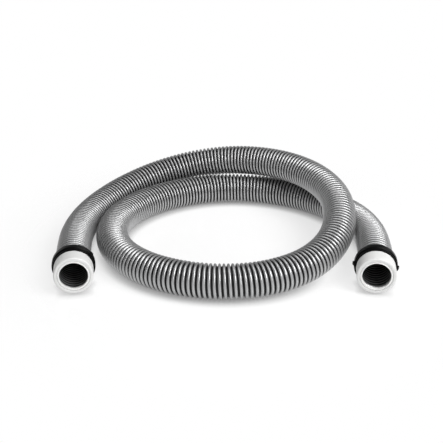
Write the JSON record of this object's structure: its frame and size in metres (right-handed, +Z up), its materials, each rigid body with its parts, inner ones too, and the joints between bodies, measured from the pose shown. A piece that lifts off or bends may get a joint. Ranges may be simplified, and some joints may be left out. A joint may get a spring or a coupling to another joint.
{
  "type": "vacuum hose",
  "caption": "Flexible ribbed suction hose lying in one loose loop, with a white screw sleeve and a black swivelling snap ring at each open end.",
  "frame": {"origin": "on the floor, under the middle of the hose's outline seen from above", "axes": "+X to the right across both mouths, +Y away from the mouths towards the back of the loop, +Z up"},
  "size_m": [0.3965, 0.3374, 0.0805],
  "materials": {
    "hose": "satin silver grey, ribbed",
    "sleeve": "white, smooth, slightly satin",
    "bush": "white, smooth, slightly satin",
    "ring": "black, fine satin"
  },
  "bodies": {
    "hose": {"hose_wall": "hose", "left_sleeve": "sleeve", "left_mouth_bush": "bush", "right_sleeve": "sleeve", "right_mouth_bush": "bush"},
    "left_ring": {"left_swivel_ring": "ring"},
    "right_ring": {"right_swivel_ring": "ring"}
  },
  "joints": [
    {"name": "left_ring_turn", "type": "hinge", "parent": "hose", "child": "left_ring", "pos_m": [-0.16742, -0.12106, 0.0248], "axis": [0.1696, -0.9855, 0], "continuous": true},
    {"name": "right_ring_turn", "type": "hinge", "parent": "hose", "child": "right_ring", "pos_m": [0.17074, -0.12027, 0.02485], "axis": [-0.1377, -0.9898, -0.0352], "continuous": true}
  ]
}
